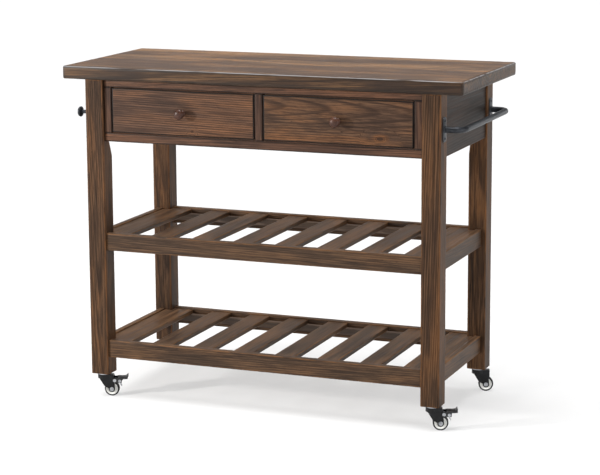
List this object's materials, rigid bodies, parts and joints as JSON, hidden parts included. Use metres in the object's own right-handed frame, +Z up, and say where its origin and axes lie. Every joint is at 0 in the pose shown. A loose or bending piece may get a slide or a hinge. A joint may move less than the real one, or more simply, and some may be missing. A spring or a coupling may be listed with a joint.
{
  "type": "kitchen island cart",
  "caption": "Rustic wooden kitchen cart with a solid worktop, inset drawers with round knobs, slatted shelves, a towel bar, side pegs and swivel casters, the front ones braked.",
  "frame": {"origin": "on the floor, under the centre of the cart's outer box, knobs included", "axes": "+X to the right along the worktop's long side, +Y from the drawers to the back, +Z up"},
  "size_m": [1.122, 0.489, 0.914],
  "materials": {
    "top_wood": "stained rustic pine, satin lacquer",
    "leg_wood": "stained rustic pine, satin lacquer",
    "face_wood": "stained rustic pine, satin lacquer",
    "apron_wood": "stained rustic pine, satin lacquer",
    "shelf_wood": "stained rustic pine, satin lacquer",
    "plain_wood": "unfinished pine",
    "dowel_wood": "unfinished beech",
    "plywood": "thin plywood",
    "knob_bronze": "glossy reddish bronze",
    "black_metal": "satin black",
    "fork_metal": "black",
    "pedal_metal": "black",
    "tyre": "black rubber",
    "hub_plastic": "off-white nylon",
    "bright_steel": "zinc plated"
  },
  "bodies": {
    "cart": {"back_apron": "apron_wood", "caster_sockets": "bright_steel", "caster_stems": "bright_steel", "drawer_kickers": "plain_wood", "drawer_runners": "plain_wood", "face_bottom_rail": "face_wood", "face_stiles": "face_wood", "face_top_rail": "face_wood", "joint_dowels": "dowel_wood", "leg_back_left": "leg_wood", "leg_back_right": "leg_wood", "leg_front_left": "leg_wood", "leg_front_right": "leg_wood", "low_back_rail": "shelf_wood", "low_front_rail": "shelf_wood", "low_slats": "shelf_wood", "mid_back_rail": "shelf_wood", "mid_front_rail": "shelf_wood", "mid_slats": "shelf_wood", "shelf_cleats": "plain_wood", "shelf_side_rails": "shelf_wood", "side_apron_left": "apron_wood", "side_apron_right": "apron_wood", "side_pegs": "black_metal", "top_cleats": "plain_wood", "top_screws": "bright_steel", "top_slab": "top_wood", "towel_bar": "black_metal", "towel_bar_flanges": "black_metal", "towel_bar_screws": "black_metal"},
    "swivel_back_left": {"caster_back_left_fork": "fork_metal", "caster_back_left_pins": "bright_steel"},
    "wheel_back_left": {"caster_back_left_hub": "hub_plastic", "caster_back_left_tyre": "tyre"},
    "swivel_back_right": {"caster_back_right_fork": "fork_metal", "caster_back_right_pins": "bright_steel"},
    "wheel_back_right": {"caster_back_right_hub": "hub_plastic", "caster_back_right_tyre": "tyre"},
    "brake_front_left": {"caster_front_left_brake_leaf": "bright_steel", "caster_front_left_brake_lever": "pedal_metal"},
    "swivel_front_left": {"caster_front_left_fork": "fork_metal", "caster_front_left_pins": "bright_steel"},
    "wheel_front_left": {"caster_front_left_hub": "hub_plastic", "caster_front_left_tyre": "tyre"},
    "brake_front_right": {"caster_front_right_brake_leaf": "bright_steel", "caster_front_right_brake_lever": "pedal_metal"},
    "swivel_front_right": {"caster_front_right_fork": "fork_metal", "caster_front_right_pins": "bright_steel"},
    "wheel_front_right": {"caster_front_right_hub": "hub_plastic", "caster_front_right_tyre": "tyre"},
    "drawer_left": {"drawer_left_bottom": "plywood", "drawer_left_box": "plain_wood", "drawer_left_front": "face_wood", "drawer_left_knob": "knob_bronze", "drawer_left_knob_screw": "bright_steel"},
    "drawer_right": {"drawer_right_bottom": "plywood", "drawer_right_box": "plain_wood", "drawer_right_front": "face_wood", "drawer_right_knob": "knob_bronze", "drawer_right_knob_screw": "bright_steel"}
  },
  "joints": [
    {"name": "drawer_left_slide", "type": "slide", "parent": "cart", "child": "drawer_left", "axis": [0, -1, 0], "range_m": [0, 0.3]},
    {"name": "drawer_right_slide", "type": "slide", "parent": "cart", "child": "drawer_right", "axis": [0, -1, 0], "range_m": [0, 0.3]},
    {"name": "swivel_front_left_turn", "type": "hinge", "parent": "cart", "child": "swivel_front_left", "pos_m": [-0.4745, -0.199, 0.06], "axis": [0, 0, 1], "continuous": true},
    {"name": "wheel_front_left_spin", "type": "hinge", "parent": "swivel_front_left", "child": "wheel_front_left", "pos_m": [-0.45477, -0.19182, 0.0205], "axis": [-0.342, 0.9397, 0], "continuous": true},
    {"name": "swivel_front_right_turn", "type": "hinge", "parent": "cart", "child": "swivel_front_right", "pos_m": [0.4745, -0.199, 0.06], "axis": [0, 0, 1], "continuous": true},
    {"name": "wheel_front_right_spin", "type": "hinge", "parent": "swivel_front_right", "child": "wheel_front_right", "pos_m": [0.49423, -0.19182, 0.0205], "axis": [-0.342, 0.9397, 0], "continuous": true},
    {"name": "swivel_back_left_turn", "type": "hinge", "parent": "cart", "child": "swivel_back_left", "pos_m": [-0.4745, 0.209, 0.06], "axis": [0, 0, 1], "continuous": true},
    {"name": "wheel_back_left_spin", "type": "hinge", "parent": "swivel_back_left", "child": "wheel_back_left", "pos_m": [-0.45477, 0.21618, 0.0205], "axis": [-0.342, 0.9397, 0], "continuous": true},
    {"name": "swivel_back_right_turn", "type": "hinge", "parent": "cart", "child": "swivel_back_right", "pos_m": [0.4745, 0.209, 0.06], "axis": [0, 0, 1], "continuous": true},
    {"name": "wheel_back_right_spin", "type": "hinge", "parent": "swivel_back_right", "child": "wheel_back_right", "pos_m": [0.49423, 0.21618, 0.0205], "axis": [-0.342, 0.9397, 0], "continuous": true},
    {"name": "brake_front_left_press", "type": "hinge", "parent": "swivel_front_left", "child": "brake_front_left", "pos_m": [-0.44687, -0.18895, 0.0452], "axis": [-0.342, 0.9397, 0], "range_deg": [0, 13.5]},
    {"name": "brake_front_right_press", "type": "hinge", "parent": "swivel_front_right", "child": "brake_front_right", "pos_m": [0.50213, -0.18895, 0.0452], "axis": [-0.342, 0.9397, 0], "range_deg": [0, 13.5]}
  ]
}
